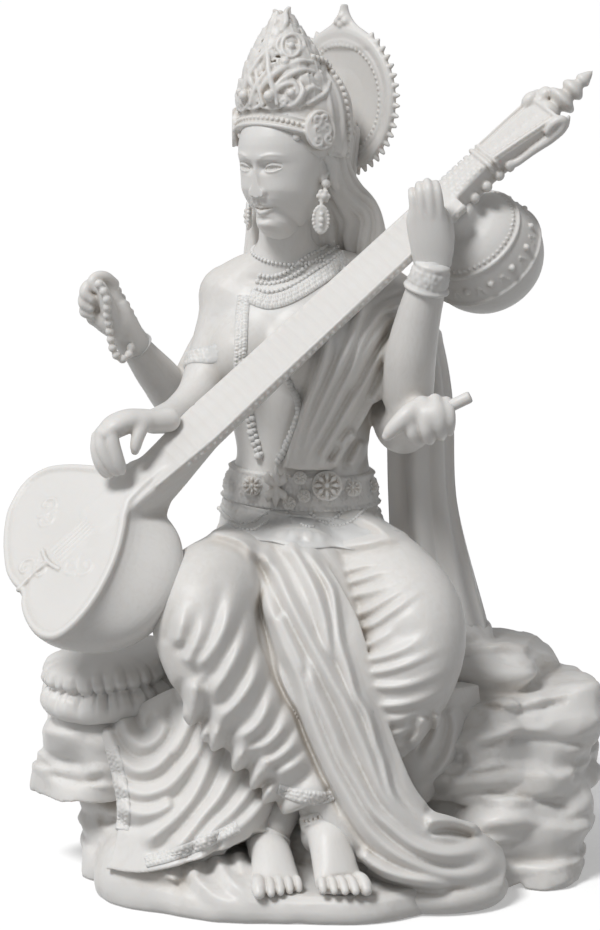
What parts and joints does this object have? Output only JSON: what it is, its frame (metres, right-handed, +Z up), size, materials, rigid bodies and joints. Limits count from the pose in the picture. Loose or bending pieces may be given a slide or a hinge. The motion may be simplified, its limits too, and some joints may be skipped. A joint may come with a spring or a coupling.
{
  "type": "statuette",
  "caption": "Decorative statuette of a seated multi-armed woman in draped dress and tall crown, playing a long-necked lute on a rocky base, cast in white marble resin.",
  "frame": {"origin": "middle of the underside, below the middle of the figure's width", "axes": "+Z up, -Y out of the figure's front, +X to the viewer's right"},
  "size_m": [0.1797, 0.1227, 0.2597],
  "materials": {
    "cast_marble": "satin, faintly cloudy off-white cast marble resin"
  },
  "bodies": {
    "root": {"seated_figure": "cast_marble"}
  },
  "joints": []
}
